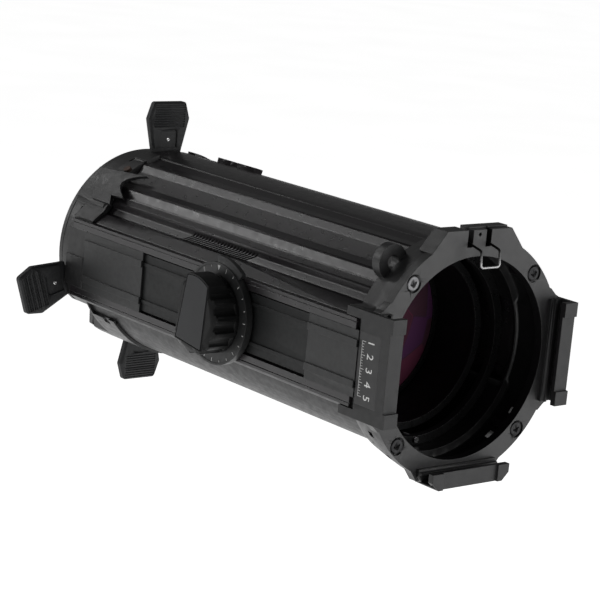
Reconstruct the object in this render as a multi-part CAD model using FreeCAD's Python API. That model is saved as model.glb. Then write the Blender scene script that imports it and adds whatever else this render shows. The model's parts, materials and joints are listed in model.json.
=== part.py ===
import FreeCAD, Part
import math
import os

# Zoom lens tube of a profile spotlight: fluted barrel, front plate with colour-frame rails, a lens
# carriage worked by a knob on each side, and a gate section with four framing shutters.
# Origin: on the optical axis in the rear mounting face. The light leaves towards -Y, +Z is up.
# A place "d" is a distance behind the front plate's face, so y = d - LENGTH.

os.makedirs("parts", exist_ok=True)
V = FreeCAD.Vector

# ---- driving dimensions, mm ------------------------------------------------------------------
LENGTH = 460.0            # front plate's face to rear mounting face
OPENING_R = 84.0          # light opening in the front plate
PLATE_R = 101.0           # round outline of the front plate
PLATE_T = 8.0
SCREW_AT = 65.8           # front screws, from the axis along X and Z
BAR_HALF = 43.5           # half length of a colour-frame rail
CHANNEL_R = 97.6          # half width of the colour-frame channel
LIP_D = -17.4             # front face of the rails' lips
BLOCK_D = -19.6           # front face of the rails' end blocks
BEZEL_END = 36.0
BARREL_END = 423.0
TRACK_END = 431.0         # rear end of the side tracks' floors and end blocks
SHELL_IN = 86.5           # inner radius of the barrel shells
LOWER_R = 89.6            # outer radius of the smooth lower shell
TRACK_X = 101.0           # outer face of the side tracks
TRACK_Z = 35.5
RAIL_IN_Z = 27.0
FLOOR_X = 95.0            # outer face of the track's floor
WALL = 3.0
COVER_FRONT = (18.5, 79.5)
COVER_REAR = (311.5, 403.0)
KNOB_D = 194.0
TRAVEL = 29.0             # lens carriage travel each way
DIAL_R = 43.5
KNOB_R = 33.0
KNOB_TOP = 132.5          # outer face of the knob's grip bar, from the axis
KNOB_TURN = 7.0           # degrees that the grip bar leans forward at rest
CELL_R = 77.5
LENS_R = 73.0
ROD_AT = 81.5
ROD_R = 2.5
HOUSING_R = 92.5
SEAT_R = 97.4             # seat of the slot cover on the housing
HOUSING_IN = 84.0
HOUSING_END = 452.0
RING_R = 91.0
GROOVE_R = 88.5           # groove between the housing and the rear ring
GROOVE_D = 455.0
REAR_BORE_R = 60.0
REAR_PCD = 150.0
GATE_R = 39.0             # gate aperture
PIVOT_R = 30.0            # swing centre of a shutter, from the axis
SHUTTER_D = {"top": 429.5, "left": 435.5, "right": 441.5, "bottom": 447.5}
SHUTTER_ANGLE = {"top": 0.0, "left": 90.0, "bottom": 180.0, "right": 270.0}
SHUTTER_OUT = {"top": 0.0, "left": 10.0, "right": 0.0, "bottom": -10.0}
SHUTTER_SWING = {"top": 0.0, "left": 18.0, "right": 0.0, "bottom": 0.0}
SWING_MAX = 20.0
FIT = 0.05                # radial clearance of a running fit


# ---- small makers ----------------------------------------------------------------------------
def box(x0, x1, d0, d1, z0, z1):
    return Part.makeBox(x1 - x0, d1 - d0, z1 - z0, V(x0, d0 - LENGTH, z0))


def rod_y(r, d0, d1, x=0.0, z=0.0):
    return Part.makeCylinder(r, d1 - d0, V(x, d0 - LENGTH, z), V(0, 1, 0))


def rod_x(r, x0, x1, d, z=0.0):
    return Part.makeCylinder(r, x1 - x0, V(x0, d - LENGTH, z), V(1, 0, 0))


def ring(r_out, r_in, d0, d1, x=0.0, z=0.0):
    return rod_y(r_out, d0, d1, x, z).cut(rod_y(r_in, d0 - 1, d1 + 1, x, z))


def polar(angle, r):
    """A point seen from the front, angle in degrees from the top towards -X."""
    return (-r * math.sin(math.radians(angle)), r * math.cos(math.radians(angle)))


def prism(points, d0, d1):
    """A closed outline of (x, z) points, carried from d0 to d1."""
    wire = Part.makePolygon([V(x, d0 - LENGTH, z) for x, z in points + points[:1]])
    return Part.Face(wire).extrude(V(0, d1 - d0, 0))


def side_prism(points, x0, x1):
    """A closed outline of (d, z) points, carried from x0 to x1."""
    wire = Part.makePolygon([V(x0, d - LENGTH, z) for d, z in points + points[:1]])
    return Part.Face(wire).extrude(V(x1 - x0, 0, 0))


def turned(profile):
    """A closed outline of (r, d) points, turned about the optical axis."""
    wire = Part.makePolygon([V(r, d - LENGTH, 0) for r, d in profile + profile[:1]])
    return Part.Face(wire).revolve(V(0, 0, 0), V(0, 1, 0), 360)


def sector(r_out, r_in, a0, a1, d0, d1):
    """A piece of a ring between two angles from the top towards -X."""
    wedge = [(0.0, 0.0)]
    for k in range(9):
        wedge.append(polar(a0 + (a1 - a0) * k / 8.0, r_out * 1.5))
    return ring(r_out, r_in, d0, d1).common(prism(wedge, d0, d1))


def around(shape, angle, x=0.0, z=0.0):
    """Turn a shape about a line along Y, by degrees from the top towards -X."""
    copy = shape.copy()
    copy.rotate(V(x, 0, z), V(0, 1, 0), -angle)
    return copy


def mirrored(shape):
    return shape.mirror(V(0, 0, 0), V(1, 0, 0))


def moved(shape, x=0.0, d=0.0, z=0.0):
    copy = shape.copy()
    copy.translate(V(x, d, z))
    return copy


def fuse(shapes):
    return shapes[0].multiFuse(shapes[1:]).removeSplitter()


def save(name, shape):
    shape.exportStep(os.path.join("parts", name + ".step"))


def save_pair(name, left_shape):
    """A left-hand piece and its mirror image."""
    save("left_" + name, left_shape)
    save("right_" + name, mirrored(left_shape))


def smooth_path(points, radii):
    """A wire in space: straight runs with a tangent arc of the given radius at each inner point."""
    edges = []
    start = points[0]
    for k in range(1, len(points) - 1):
        back = (points[k - 1] - points[k]).normalize()
        ahead = (points[k + 1] - points[k]).normalize()
        half = back.getAngle(ahead) / 2.0
        reach = radii[k - 1] / math.tan(half)
        a = points[k] + back * reach
        b = points[k] + ahead * reach
        middle = points[k] + (back + ahead).normalize() * (radii[k - 1] / math.sin(half) - radii[k - 1])
        if (a - start).Length > 1e-6:
            edges.append(Part.makeLine(start, a))
        edges.append(Part.Arc(a, middle, b).toShape())
        start = b
    edges.append(Part.makeLine(start, points[-1]))
    return Part.Wire(edges)


def rounded_outline(points, radii):
    """Edges of a closed (x, z) outline at d = 0 with a tangent arc at each corner (radius 0 is sharp)."""
    corners = [V(x, -LENGTH, z) for x, z in points]
    count = len(corners)
    edges = []
    ends = []
    for k in range(count):
        here = corners[k]
        if radii[k] == 0:
            ends.append((here, None, here))
            continue
        back = (corners[k - 1] - here).normalize()
        ahead = (corners[(k + 1) % count] - here).normalize()
        half = back.getAngle(ahead) / 2.0
        reach = radii[k] / math.tan(half)
        middle = here + (back + ahead).normalize() * (radii[k] / math.sin(half) - radii[k])
        ends.append((here + back * reach, middle, here + ahead * reach))
    for k in range(count):
        a, middle, b = ends[k]
        if middle is not None:
            edges.append(Part.Arc(a, middle, b).toShape())
        following = ends[(k + 1) % count][0]
        if (following - b).Length > 1e-6:
            edges.append(Part.makeLine(b, following))
    return Part.Wire(edges)


# ---- front plate and its colour-frame rails ----------------------------------------------------
TAB_Z = 105.4
TAB_HALF = 35.0
TAB_DEPTH = 16.5
CLIP_D = 4.0              # pivot of the wire clip
CLIP_Z = 95.5
CLIP_X = 10.0
WIRE_R = 1.0


def front_plate():
    ear = [(-88.0, 52.0), (-94.0, 46.5), (-CHANNEL_R, 44.5), (-CHANNEL_R, -44.5), (-94.0, -46.5),
           (-88.0, -52.0), (-60.0, -40.0), (-60.0, 40.0)]
    foot = [(-52.0, -84.0), (-42.0, -CHANNEL_R), (42.0, -CHANNEL_R), (52.0, -84.0)]
    tab = [(-49.0, 88.4), (-TAB_HALF, TAB_Z), (TAB_HALF, TAB_Z), (49.0, 88.4), (40.0, 70.0), (-40.0, 70.0)]
    round_part = rod_y(PLATE_R, 0, PLATE_T).common(box(-CHANNEL_R, CHANNEL_R, 0, PLATE_T, -CHANNEL_R, 120))
    plate = fuse([round_part, prism(ear, 0, PLATE_T), mirrored(prism(ear, 0, PLATE_T)),
                  prism(foot, 0, PLATE_T), prism(tab, 0, PLATE_T)])
    hood = prism(tab, PLATE_T, TAB_DEPTH).fuse(box(-7.0, TAB_HALF, 6.0, TAB_DEPTH, 98.0, TAB_Z + 1.2))
    plate = plate.fuse(hood.cut(rod_y(PLATE_R - 0.5, 0, TAB_DEPTH + 1))).removeSplitter()
    plate = plate.cut(rod_y(OPENING_R, -1, PLATE_T + 1))
    for sx in (-1, 1):
        for sz in (-1, 1):
            plate = plate.cut(rod_y(2.3, -1, PLATE_T + 1, sx * SCREW_AT, sz * SCREW_AT))
            plate = plate.cut(rod_y(7.5, -1, 2.6, sx * SCREW_AT, sz * SCREW_AT))
        slot = box(7.0, 12.8, -1, 7.0 if sx > 0 else TAB_DEPTH + 1, 91.5, TAB_Z + 2)
        pivot_hole = rod_x(WIRE_R + FIT, 12.0, 18.0, CLIP_D, CLIP_Z)
        for cutter in (slot, pivot_hole):
            plate = plate.cut(cutter if sx > 0 else mirrored(cutter))
    return plate.cut(rod_y(1.5, -1, TAB_DEPTH + 1, 0, 101.6))


def frame_rail(half, wall_to):
    """A rail along Z at the -X side: base, channel, front lip with proud end blocks, and outer wall."""
    base = box(-CHANNEL_R, -87.0, -3.0, 0, -half, half)
    ridge = box(-91.5, -89.5, -5.8, 0, -half, half)
    wall = box(-TRACK_X, -CHANNEL_R, LIP_D, wall_to, -half, half)
    lip = box(-TRACK_X, -87.0, LIP_D, LIP_D + 3.0, -half, half)
    blocks = [box(-TRACK_X, -87.0, BLOCK_D, LIP_D + 3.0, sz * half - 6 - sz * 6, sz * half + 6 - sz * 6)
              for sz in (-1, 1)]
    return fuse([base, ridge, wall, lip] + blocks)


def side_rail():
    rail = frame_rail(BAR_HALF, COVER_FRONT[0] - 1.0)
    cheeks = [box(-TRACK_X, -CHANNEL_R, 17.0, BEZEL_END - 1.0, z0, z0 + 7.0) for z0 in (36.5, -43.5)]
    rail = fuse([rail] + cheeks)
    rail = rail.cut(box(-TRACK_X - 1, -TRACK_X + 0.6, -7.5, 16.5, -31.0, 27.0))
    return rail


def bottom_rail():
    rail = frame_rail(42.0, PLATE_T)
    for sz in (-1, 1):
        corner = [(-TRACK_X - 1, sz * 35.0), (-TRACK_X, sz * 35.0), (-94.0, sz * 42.1),
                  (-94.0, sz * 50.0), (-TRACK_X - 1, sz * 50.0)]
        rail = rail.cut(prism(corner, BLOCK_D - 1, PLATE_T + 1))
    return around(rail, 90.0)


def front_screw(x, z):
    head = rod_y(6.0, 0.3, 2.6, x, z)
    head = head.makeChamfer(0.6, [e for e in head.Edges if abs(e.BoundBox.YMax - (0.3 - LENGTH)) < 1e-4
                                  and len(e.Vertexes) == 1])
    shank = rod_y(2.1, 2.0, 22.0, x, z)
    screw = head.fuse(shank).removeSplitter()
    for half_x, half_z in ((3.5, 0.65), (0.65, 3.5)):
        cross = box(x - half_x, x + half_x, -1, 1.7, z - half_z, z + half_z)
        screw = screw.cut(around(cross, 18.0, x, z))
    return screw


save("front_plate", front_plate())
save_pair("frame_rail", side_rail())
save("bottom_frame_rail", bottom_rail())
save("front_screws", Part.makeCompound([front_screw(sx * SCREW_AT, sz * SCREW_AT)
                                        for sx in (-1, 1) for sz in (-1, 1)]))
save_pair("range_label", box(-TRACK_X, -TRACK_X + 0.6, -7.5, 16.5, -31.0, 27.0))

# wire clip that closes the top of the colour-frame holder
KNEE = V(CLIP_X, -13.5 - LENGTH, 91.3)
LOW = V(CLIP_X, -14.8 - LENGTH, 78.0)
CLIP_END = V(16.0, CLIP_D - LENGTH, CLIP_Z)
CLIP_BEND = V(CLIP_X, CLIP_D - LENGTH, CLIP_Z)


def flip(v):
    return V(-v.x, v.y, v.z)


clip_points = [CLIP_END, CLIP_BEND, KNEE, LOW, flip(LOW), flip(KNEE), flip(CLIP_BEND), flip(CLIP_END)]
clip_path = smooth_path(clip_points, [1.8, 3.0, 2.6, 2.6, 3.0, 1.8])
clip_section = Part.Wire(Part.makeCircle(WIRE_R, CLIP_END, V(1, 0, 0)))
save("wire_clip", clip_path.makePipeShell([clip_section], True, True))

# ---- front bezel: flared casting between the plate and the barrel --------------------------------
LUG_ANGLE = 40.0
LUG_R = 100.5             # centre of the lug's hole, from the axis
LUG_D = (27.5, 36.0)
LUG_OUT_R = 14.6
LUG_HOLE_R = 5.8
VENTS = ((143.2, 3.8, 13.0, 23.0), (126.2, 3.0, 14.0, 19.5))   # angle, half width, d span


def front_bezel():
    bezel = turned([(95.5, PLATE_T), (99.8, PLATE_T), (99.5, 17.0), (96.6, 31.0), (95.6, BEZEL_END),
                    (86.0, BEZEL_END), (86.0, 33.0), (92.5, 33.0), (92.5, 31.0)])
    bezel = bezel.common(box(-CHANNEL_R, CHANNEL_R, 0, BEZEL_END, -110, 110))
    cheek = box(-CHANNEL_R, -84.0, PLATE_T, BEZEL_END, -43.5, 43.5).cut(rod_y(90.0, 0, BEZEL_END + 1))
    bezel = bezel.fuse([cheek, mirrored(cheek)])
    recess = box(-110, -96.4, 17.0, BEZEL_END + 1, -RAIL_IN_Z, RAIL_IN_Z)
    bezel = bezel.cut([recess, mirrored(recess)])
    x, z = polar(LUG_ANGLE, LUG_R)
    lug = rod_y(LUG_OUT_R, LUG_D[0], LUG_D[1], x, z)
    bosses = [rod_y(5.5, PLATE_T, 24.0, sx * SCREW_AT, sz * SCREW_AT) for sx in (-1, 1) for sz in (-1, 1)]
    bezel = bezel.fuse([lug] + bosses).removeSplitter()
    bezel = bezel.cut(rod_y(LUG_HOLE_R, LUG_D[0], LUG_D[1] + 1, x, z)).cut(rod_y(86.0, 0, BEZEL_END + 1))
    for sx in (-1, 1):
        for sz in (-1, 1):
            bezel = bezel.cut(rod_y(2.1, 0, 22.0, sx * SCREW_AT, sz * SCREW_AT))
        for angle, half, d0, d1 in VENTS:
            window = around(box(-half, half, d0, d1, 80.0, 104.0), angle)
            bezel = bezel.cut(window if sx < 0 else mirrored(window))
    return bezel


save("front_bezel", front_bezel())

# ---- barrel: fluted upper shell, smooth lower shell --------------------------------------------
# Crests and valleys of the flutes: angle from the top, radius, corner rounding.
FLUTES = [(13.5, 95.0, 0.0), (14.6, 94.2, 0.0), (19.5, 93.4, 6.0), (24.3, 95.3, 3.0), (29.0, 91.9, 6.0),
          (39.6, 91.6, 6.0), (44.3, 95.2, 3.0), (49.4, 91.4, 4.0), (54.4, 94.3, 2.0), (57.2, 89.4, 1.5),
          (61.2, 90.2, 1.0), (62.6, 93.6, 1.5)]
GRILLE_D = 191.0          # middle of the first slit
GRILLE_PITCH = 4.4
GRILLE_COUNT = 21
PADS = ((321.0, 346.0, -19.0, -13.0), (356.5, 376.0, -19.0, -13.0))   # low bosses: d span, angle span
PAD_R = 99.4


def upper_shell():
    left = [polar(a, r) for a, r, rounding in FLUTES]
    roundings = [rounding for a, r, rounding in FLUTES]
    foot_out = (-94.5, TRACK_Z)
    foot_in = (-90.2, TRACK_Z)
    angle_in = math.degrees(math.acos(TRACK_Z / SHELL_IN))
    outline = rounded_outline([(0.0, 60.0)] + [polar(0.0, 95.0)] + left + [foot_out, foot_in,
                              polar(angle_in, SHELL_IN), (-60.0, TRACK_Z)],
                              [0.0, 0.0] + roundings + [0.0, 0.0, 0.0, 0.0])
    half = Part.Face(outline).extrude(V(0, BARREL_END, 0))
    crown = sector(95.0, 60.0, 0.0, 13.5, 0, BARREL_END)
    half = half.fuse(crown).removeSplitter()
    half = half.common(box(-110, 0, BEZEL_END, BARREL_END, TRACK_Z, 110))
    shell = half.fuse(mirrored(half))
    for d0, d1, a0, a1 in PADS:
        shell = shell.fuse(sector(PAD_R, 90.0, a0, a1, d0, d1))
    shell = shell.removeSplitter().cut(rod_y(SHELL_IN, 0, 500))
    for k in range(GRILLE_COUNT):
        middle = GRILLE_D + GRILLE_PITCH * k
        slit = box(-0.6, 0.6, middle - 10.1, middle + 10.1, 84.0, 94.0)
        slit.rotate(V(0, middle - LENGTH, 0), V(0, 0, 1), 33.0)
        shell = shell.cut(around(slit, 59.2))
    return shell


def lower_shell():
    flank = [(-94.5, -TRACK_Z), (-83.0, -44.0), (-70.0, -50.0), (-70.0, -TRACK_Z)]
    half = fuse([rod_y(LOWER_R, BEZEL_END, BARREL_END), prism(flank, BEZEL_END, BARREL_END),
                 mirrored(prism(flank, BEZEL_END, BARREL_END))])
    half = half.common(box(-110, 110, BEZEL_END, BARREL_END, -110, -TRACK_Z))
    return half.cut(rod_y(SHELL_IN, 0, 500))


save("upper_shell", upper_shell())
save("lower_shell", lower_shell())

# ---- side tracks with fixed covers ------------------------------------------------------------
RIDGE_Z = 16.5
SLIDE_X = 99.0            # outer face of the sliding cover plate
SLIDE_T = 2.0
COVER_X = 101.3


def track():
    bars = [box(-TRACK_X, -90.2, 23.0, BARREL_END, z0, z0 + TRACK_Z - RAIL_IN_Z)
            for z0 in (RAIL_IN_Z, -TRACK_Z)]
    feet = [box(-FLOOR_X, -90.2, BEZEL_END, BARREL_END, z0, z0 + TRACK_Z - RAIL_IN_Z)
            for z0 in (RAIL_IN_Z, -TRACK_Z)]
    floor = box(-FLOOR_X, -FLOOR_X + WALL, BEZEL_END, TRACK_END, -RAIL_IN_Z, RAIL_IN_Z)
    body = fuse(bars + feet + [floor])
    body = body.cut(box(-98.0, -80, 0, BEZEL_END, -60, 60))
    for z0 in (TRACK_Z - 3.2, -TRACK_Z + 2.4):
        body = body.cut(box(-TRACK_X - 1, -TRACK_X + 0.9, 0, 500, z0, z0 + 0.8))
    slot = box(-100, -80, KNOB_D - TRAVEL - 9.0, KNOB_D + TRAVEL + 9.0, -6.0, 6.0)
    return body.cut(slot)


def cover(d0, d1):
    sheet = box(-COVER_X, -SLIDE_X - 0.4, d0, d1, -RAIL_IN_Z, RAIL_IN_Z)
    legs = [box(-COVER_X, -FLOOR_X, max(d0, BEZEL_END), d1, z0, z0 + 1.2) for z0 in (RAIL_IN_Z - 1.2, -RAIL_IN_Z)]
    ridges = [box(-COVER_X - 1.4, -SLIDE_X - 0.4, d0, d1, z0 - 3.0, z0 + 3.0) for z0 in (RIDGE_Z, -RIDGE_Z)]
    grooves = [box(-COVER_X + 0.3, -SLIDE_X, d0 - 1, d1 + 1, z0 - 1.9, z0 + 1.9) for z0 in (RIDGE_Z, -RIDGE_Z)]
    body = fuse([sheet] + legs + ridges)
    for groove in grooves:
        body = body.cut(groove)
    return body


def end_block():
    block = box(-TRACK_X, -FLOOR_X, COVER_REAR[1], TRACK_END, -RAIL_IN_Z, RAIL_IN_Z)
    pad = box(-TRACK_X - 1.2, -FLOOR_X, COVER_REAR[1] + 2.0, TRACK_END, -26.0, 2.0)
    return fuse([block, pad])


save_pair("track", track())
save_pair("front_cover", cover(*COVER_FRONT))
save_pair("rear_cover", cover(*COVER_REAR))
save_pair("end_block", end_block())

# ---- lens carriages: sliding plate, dial, knob, arm and lens cell --------------------------------
DIAL_X = 108.0
STUD_R = 4.0
SCALLOPS = 14
PLATE_D = (COVER_FRONT[1] - TRAVEL - 1.5, COVER_REAR[0] + TRAVEL + 1.5)


def slide_plate():
    plate = box(-SLIDE_X, -SLIDE_X + SLIDE_T, PLATE_D[0], PLATE_D[1], -25.4, 25.4)
    ridges = [box(-SLIDE_X - 1.2, -SLIDE_X, PLATE_D[0], PLATE_D[1], z0 - 1.5, z0 + 1.5)
              for z0 in (RIDGE_Z, -RIDGE_Z)]
    return fuse([plate] + ridges).cut(rod_x(STUD_R + FIT, -110, -90, KNOB_D))


def dial():
    """Dial disc on the sliding plate, with a raised rim and a thumb ear above the upper rail."""
    disc = rod_x(DIAL_R, -DIAL_X, -TRACK_X - 0.5, KNOB_D)
    ear = rod_x(49.0, -DIAL_X + 2.4, -TRACK_X - 0.5, KNOB_D)
    wedge = [(KNOB_D, 0.0), (KNOB_D + 6.0, 60.0), (KNOB_D - 46.0, 60.0)]
    ear = ear.common(side_prism(wedge, -120, -90))
    hub = box(-TRACK_X - 0.5, -SLIDE_X, KNOB_D - 20.0, KNOB_D + 20.0, -12.0, 12.0)
    rim_cut = rod_x(DIAL_R - 1.6, -DIAL_X - 1, -DIAL_X + 0.7, KNOB_D)
    body = fuse([disc, ear, hub]).cut(rim_cut)
    return body.cut(rod_x(STUD_R + FIT, -DIAL_X - 1, -90, KNOB_D))


def knob():
    """Clamp knob: scalloped grip with a tapered bar across its sloping top, and its threaded stud."""
    base_x = -DIAL_X + 0.2
    rim_x = -KNOB_TOP + 3.5
    body = rod_x(KNOB_R, rim_x, base_x, KNOB_D)
    slope = Part.makeCone(27.0, KNOB_R, 3.3, V(rim_x - 3.3, KNOB_D - LENGTH, 0), V(1, 0, 0))
    body = body.fuse(slope)
    for k in range(SCALLOPS):
        angle = 2.0 * math.pi * (k + 0.5) / SCALLOPS
        reach = KNOB_R + 3.0
        flute = rod_x(6.0, -KNOB_TOP - 5, base_x - 2.5, KNOB_D + reach * math.sin(angle), reach * math.cos(angle))
        body = body.cut(flute)
    rear_slope = [V(-KNOB_TOP - 1, 17.6, -50), V(-KNOB_TOP - 1, 40, -50), V(-110, 40, -50), V(-112, 32, -50)]
    rear_slope = Part.Face(Part.makePolygon(rear_slope + rear_slope[:1])).extrude(V(0, 0, 100))
    body = body.cut(moved(rear_slope, d=KNOB_D - LENGTH))
    bar = side_prism([(KNOB_D - 17.0, 35.5), (KNOB_D + 13.0, 35.5), (KNOB_D + 17.6, -25.6),
                      (KNOB_D - 20.5, -25.6)], -KNOB_TOP, base_x - 6.0)
    bar = bar.common(rod_x(35.6, -KNOB_TOP - 1, base_x, KNOB_D))
    inlay_groove = side_prism([(KNOB_D - 16.4, 40.0), (KNOB_D + 12.4, 40.0), (KNOB_D + 16.8, -24.6),
                               (KNOB_D - 19.8, -24.6)], -KNOB_TOP - 1, -KNOB_TOP + 1.0)
    inlay_groove = inlay_groove.common(rod_x(34.4, -KNOB_TOP - 2, base_x, KNOB_D))
    body = fuse([body, bar]).cut(inlay_groove)
    stud = rod_x(STUD_R, base_x - 1.0, -96.8, KNOB_D)
    body = fuse([body, stud])
    body.rotate(V(0, KNOB_D - LENGTH, 0), V(1, 0, 0), KNOB_TURN)
    return body


def knob_inlay():
    """Plate let into the top of the knob's bar."""
    plate = side_prism([(KNOB_D - 15.6, 40.0), (KNOB_D + 11.6, 40.0), (KNOB_D + 15.9, -23.8),
                        (KNOB_D - 18.9, -23.8)], -KNOB_TOP - 0.2, -KNOB_TOP + 1.0)
    plate = plate.common(rod_x(34.0, -KNOB_TOP - 2, -100, KNOB_D))
    plate.rotate(V(0, KNOB_D - LENGTH, 0), V(1, 0, 0), KNOB_TURN)
    return plate


def arm(inner_x, d_end):
    """Bridge from the sliding plate through the track's slot to a lens cell."""
    post = box(-SLIDE_X + SLIDE_T, -inner_x, KNOB_D - 8.0, KNOB_D + 8.0, -5.5, 5.5)
    foot = box(-inner_x - 4.0, -inner_x, KNOB_D - 8.0, d_end, -5.5, 5.5)
    return fuse([post, foot]).cut(rod_x(STUD_R + 0.4, -99, -96.0, KNOB_D))


FRONT_CELL = (66.0, 203.0)
REAR_CELL = (262.0, 300.0)


def lens_cell(d0, d1, boss_spans, seat_d):
    """Cell tube with a seat for the lens, and bosses that ride on the two guide rods."""
    tube = ring(CELL_R, LENS_R + 1.5, d0, d1)
    seat = ring(CELL_R - 1.0, LENS_R - 2.5, seat_d, seat_d + 3.0)
    lip = ring(CELL_R - 1.0, LENS_R - 2.0, d0, d0 + 2.4)
    cell = fuse([tube, seat, lip])
    for b0, b1 in boss_spans:
        for sz in (-1, 1):
            boss = rod_y(4.5, b0, b1, 0, sz * ROD_AT).cut(rod_y(CELL_R - 0.5, b0 - 1, b1 + 1))
            cell = cell.fuse(boss)
    for sz in (-1, 1):
        cell = cell.cut(rod_y(ROD_R + FIT, d0 - 1, d1 + 1, 0, sz * ROD_AT))
    return cell.removeSplitter()


def lens(r, d_face, bulge_front, bulge_back, edge):
    """Biconvex glass: an edge cylinder between two shallow caps."""
    body = rod_y(r, d_face, d_face + edge)
    for bulge, d_plane, side in ((bulge_front, d_face, -1), (bulge_back, d_face + edge, 1)):
        big = (r * r + bulge * bulge) / (2.0 * bulge)
        ball = Part.makeSphere(big, V(0, d_plane - LENGTH + side * (bulge - big), 0))
        if side < 0:
            cap = ball.common(rod_y(r, d_plane - bulge - 1, d_plane))
        else:
            cap = ball.common(rod_y(r, d_plane, d_plane + bulge + 1))
        body = body.fuse(cap)
    return body.removeSplitter()


FRONT_SEAT = 128.0
REAR_SEAT = 284.0
save_pair("slide_plate", slide_plate())
save_pair("dial", dial())
save_pair("knob", knob())
save_pair("knob_inlay", knob_inlay())
save("left_arm", arm(CELL_R, KNOB_D + 8.0))
save("right_arm", mirrored(arm(CELL_R + 1.5, REAR_CELL[1])).cut(rod_y(CELL_R, REAR_CELL[0] - 80, REAR_CELL[1] + 1)))
front_lens = lens(LENS_R, FRONT_SEAT - 8.0, 12.0, 2.0, 8.0)
rear_lens = lens(LENS_R, REAR_SEAT - 7.0, 3.0, 2.0, 7.0)
front_cell = lens_cell(FRONT_CELL[0], FRONT_CELL[1], ((90.0, 105.0), (185.0, 203.0)), FRONT_SEAT)
rear_cell = lens_cell(REAR_CELL[0], REAR_CELL[1], ((266.0, 296.0),), REAR_SEAT)
rear_lug = box(CELL_R - 1.0, CELL_R + 1.5, REAR_CELL[0], REAR_CELL[1], -5.5, 5.5)
front_retainer = ring(LENS_R + 1.5, LENS_R - 2.5, FRONT_SEAT - 10.5, FRONT_SEAT - 8.0)
rear_retainer = ring(LENS_R + 1.5, LENS_R - 2.5, REAR_SEAT - 9.5, REAR_SEAT - 7.0)
save("front_lens", front_lens)
save("rear_lens", rear_lens)
save("front_lens_cell", front_cell.cut(front_lens))
save("rear_lens_cell", rear_cell.fuse(rear_lug).removeSplitter().cut(rear_lens))
save("front_lens_retainer", front_retainer.cut(front_lens))
save("rear_lens_retainer", rear_retainer.cut(rear_lens))
save("guide_rods", Part.makeCompound([rod_y(ROD_R, 48.0, 425.8, 0, sz * ROD_AT) for sz in (-1, 1)]))

baffle = ring(86.4, 78.6, 50.0, 56.0)
for sz in (-1, 1):
    baffle = baffle.cut(rod_y(ROD_R, 40, 60, 0, sz * ROD_AT))
save("front_rod_ring", baffle)

# ---- gate section: housing, rear ring, guide plates and shutters --------------------------------
GRIP_ROOT = 91.0
GRIP_TIP = 141.0
NECK_HALF = 11.0
WINDOW_HALF = 42.6
HANDLE_T = 8.0
# The gate section's lower left corner, outside and inside, as (x, z) points; the right one mirrors it.
GATE_OUTER = [(-120.0, -38.0), (-84.0, -40.5), (-73.0, -50.0), (-52.5, -57.5), (-51.5, -76.0)]
GATE_INNER = [(-120.0, -33.0), (-79.0, -35.5), (-69.0, -44.5), (-47.0, -52.5), (-46.0, -76.0)]
PLATE_FLAT = 76.5         # flats on the guide plates, clear of the grips
CATCH_ANGLE = 33.7
CATCH_D = 411.0
CATCH_HEAD_R = 3.6


def outside(corner_points, d0, d1):
    """The two lower corners that the gate section leaves open, beyond an outline of (x, z) points."""
    corner = prism(corner_points + [(corner_points[-1][0], -120.0), (-120.0, -120.0)], d0, d1)
    return [corner, mirrored(corner)]


def on_barrel(r_out, a0, a1, d0, d1):
    """A pad on the barrel's rear end, fitted to the flutes."""
    return sector(r_out, LOWER_R - 1.0, a0, a1, d0, d1)


def catch_shank():
    return Part.makeCylinder(2.0, 4.2, V(0, CATCH_D - LENGTH, 92.2), V(0, 0, 1))


def rear_housing():
    collar = [on_barrel(96.2, a0, a0 + 34.0, 408.0, BARREL_END + 4) for a0 in (20.0, -54.0)]
    lumps = [on_barrel(98.0, 14.0, 23.0, 405.0, 430.0), on_barrel(97.0, -23.0, -14.0, 414.0, 430.0)]
    seat = on_barrel(SEAT_R, 37.5, 60.0, 404.0, 447.0)
    shoulder = prism([polar(53.0, 90.0), polar(53.0, 96.2), polar(61.5, 96.6), (-96.5, 37.2), (-96.5, TRACK_Z),
                      (-88.0, TRACK_Z)], 400.0, TRACK_END)
    flange = rod_y(HOUSING_R, BARREL_END, BARREL_END + 2)
    bore = rod_y(HOUSING_IN, BARREL_END, HOUSING_END)
    body = fuse([ring(HOUSING_R, HOUSING_IN, BARREL_END, HOUSING_END), seat, shoulder, mirrored(shoulder)]
                + collar + lumps + [part.common(bore) for part in outside(GATE_INNER, BARREL_END, HOUSING_END)])
    body = body.cut(outside(GATE_OUTER, BARREL_END, LENGTH + 1))
    belly = sector(HOUSING_R, LOWER_R - 1.0, 127.5, 232.5, 389.0, BARREL_END)
    belly = belly.cut([sector(98.0, 91.0, a0, a0 + 5.0, 398.0, 407.0) for a0 in (126.0, 229.0)])
    body = body.fuse([belly] + [part.common(flange) for part in outside(GATE_INNER, BARREL_END, HOUSING_END)])
    for side, d_mid in SHUTTER_D.items():
        window = box(-WINDOW_HALF, WINDOW_HALF, d_mid - 5.0, d_mid + 5.0, 60.0, 110.0)
        body = body.cut(around(window, SHUTTER_ANGLE[side]))
    ledge = box(-TRACK_X, -86.0, BARREL_END, 428.0, -TRACK_Z, TRACK_Z).cut(rod_y(HOUSING_R - 1, 0, 500))
    bay = box(-120, -FLOOR_X + WALL, BARREL_END - 1, TRACK_END, -RAIL_IN_Z, RAIL_IN_Z)
    body = body.fuse([ledge, mirrored(ledge)]).cut([bay, mirrored(bay), around(catch_shank(), CATCH_ANGLE)])
    return body.cut([lower_shell(), upper_shell()]).removeSplitter()


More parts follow.
